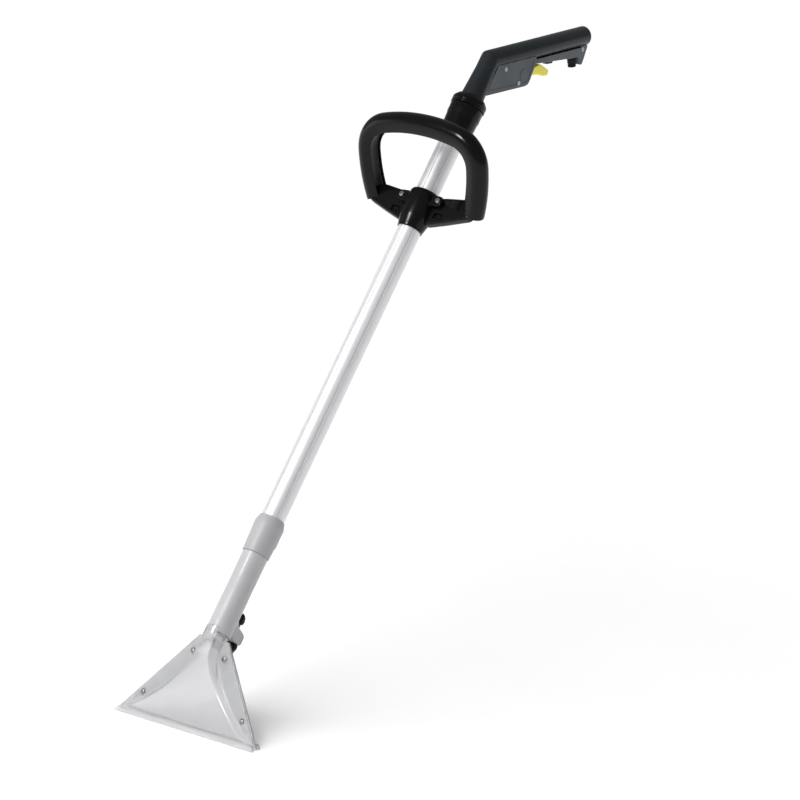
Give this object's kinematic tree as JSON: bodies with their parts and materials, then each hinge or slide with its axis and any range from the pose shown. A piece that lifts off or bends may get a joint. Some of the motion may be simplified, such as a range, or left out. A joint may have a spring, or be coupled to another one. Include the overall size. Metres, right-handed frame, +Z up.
{
  "type": "carpet cleaner floor wand",
  "caption": "Long-handled spray-extraction floor wand: clear suction head, aluminium tube, clamped D-handle, bent grip with solution valve and trigger.",
  "frame": {"origin": "on the floor, under the middle of the suction head's front lip", "axes": "+X to the wand's right, +Y rearward to the user, +Z up; the tube leans 40 degrees back from vertical as in use"},
  "size_m": [0.24, 0.8415, 0.7897],
  "materials": {
    "clear_plastic": "clear polycarbonate, gloss",
    "light_grey_plastic": "moulded, satin",
    "grey_plastic": "moulded, satin",
    "black_plastic": "moulded, gloss",
    "black_trim": "moulded, satin",
    "slate_plastic": "moulded, satin sheen",
    "housing_plastic": "moulded, fine texture",
    "yellow_plastic": "moulded, gloss",
    "aluminium": "anodised, drawn",
    "steel": "zinc plated",
    "brass": "turned",
    "rubber": "moulded",
    "clear_seal": "moulded silicone",
    "hose_plastic": "extruded"
  },
  "bodies": {
    "wand": {"head_front_shell": "clear_plastic", "head_rear_shell": "clear_plastic", "head_gasket": "clear_seal", "head_screws": "steel", "neck": "light_grey_plastic", "neck_seal": "rubber", "jet_elbow": "black_trim", "jet_stem": "brass", "tube_sleeve": "grey_plastic", "tube_seal": "rubber", "latch_pin": "steel", "latch_spring": "steel", "suction_tube": "aluminium", "union_sleeve": "black_plastic", "union_seal": "rubber", "elbow_grip": "slate_plastic", "housing_left": "housing_plastic", "housing_right": "housing_plastic", "housing_screws": "steel", "trigger_pin": "steel", "trigger_stop": "rubber", "valve_body": "brass", "valve_spring": "steel", "feed_line": "hose_plastic", "solution_line": "hose_plastic", "solution_inlet": "black_trim"},
    "d_handle": {"d_handle": "black_plastic", "clamp_shell": "black_plastic", "clamp_screws": "steel", "clamp_nuts": "steel"},
    "trigger": {"trigger": "yellow_plastic"},
    "valve_stem": {"valve_stem": "steel"},
    "union_nut": {"union_nut": "black_plastic"},
    "tube_latch": {"tube_latch": "grey_plastic"},
    "jet_cap": {"jet_cap": "black_trim", "jet_tip": "brass"}
  },
  "joints": [
    {"name": "d_handle_slide", "type": "slide", "parent": "wand", "child": "d_handle", "axis": [0, 0.6428, 0.766], "range_m": [-0.3, 0.05]},
    {"name": "trigger_pull", "type": "hinge", "parent": "wand", "child": "trigger", "pos_m": [0, 0.68429, 0.74647], "axis": [1, 0, 0], "range_deg": [0, 6], "stiffness_Nm_per_rad": 0.5, "springref_deg": -17.19},
    {"name": "valve_stroke", "type": "slide", "parent": "wand", "child": "valve_stem", "axis": [0, -1, 0], "range_m": [0, 0.001], "deforming": ["valve_spring"]},
    {"name": "union_nut_turn", "type": "hinge", "parent": "wand", "child": "union_nut", "pos_m": [0, 0.57481, 0.71769], "axis": [0, 0.6428, 0.766], "range_deg": [0, 90]},
    {"name": "tube_latch_press", "type": "hinge", "parent": "wand", "child": "tube_latch", "pos_m": [0, 0.17675, 0.20907], "axis": [1, 0, 0], "range_deg": [0, 13], "stiffness_Nm_per_rad": 0.05, "springref_deg": -11.46, "deforming": ["latch_spring"]},
    {"name": "jet_cap_turn", "type": "hinge", "parent": "wand", "child": "jet_cap", "pos_m": [0, 0.09344, 0.09034], "axis": [0, 0.6428, 0.766], "range_deg": [0, 90]}
  ],
  "couplings": [
    {"joint": "valve_stroke", "follows": "trigger_pull", "m_per_rad": 0.0086}
  ]
}
